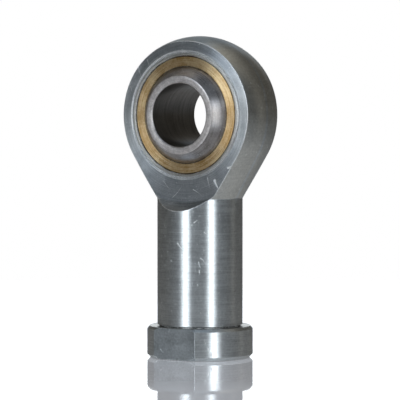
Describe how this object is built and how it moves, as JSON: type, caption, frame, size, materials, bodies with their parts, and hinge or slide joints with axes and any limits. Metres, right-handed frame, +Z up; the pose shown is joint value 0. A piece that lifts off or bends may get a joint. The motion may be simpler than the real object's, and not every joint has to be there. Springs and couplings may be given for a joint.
{
  "type": "rod end ball joint",
  "caption": "Female rod end: a steel ball in a bronze liner and a round eye, on a shank with an internal thread and a collar with wrench flats.",
  "frame": {"origin": "centre of the base face, on the axis of the shank and its thread", "axes": "+Z up along the shank, Y along the bore of the ball, -X towards the grease nipple"},
  "size_m": [0.0498, 0.03, 0.102],
  "materials": {
    "zinc_plated_steel": "bright zinc plating over turned steel",
    "ring_steel": "finely turned bare steel",
    "bronze": "turned bronze, satin",
    "ball_steel": "ground and hardened bearing steel",
    "nipple_steel": "bright zinc plating"
  },
  "bodies": {
    "housing": {"housing": "zinc_plated_steel", "outer_ring": "ring_steel", "bronze_liner": "bronze", "grease_nipple": "nipple_steel"},
    "ball": {"inner_ring": "ball_steel"}
  },
  "joints": [
    {"name": "ball_tilt", "type": "hinge", "parent": "housing", "child": "ball", "pos_m": [0, 0, 0.077], "axis": [1, 0, 0], "range_deg": [-14, 14]}
  ]
}
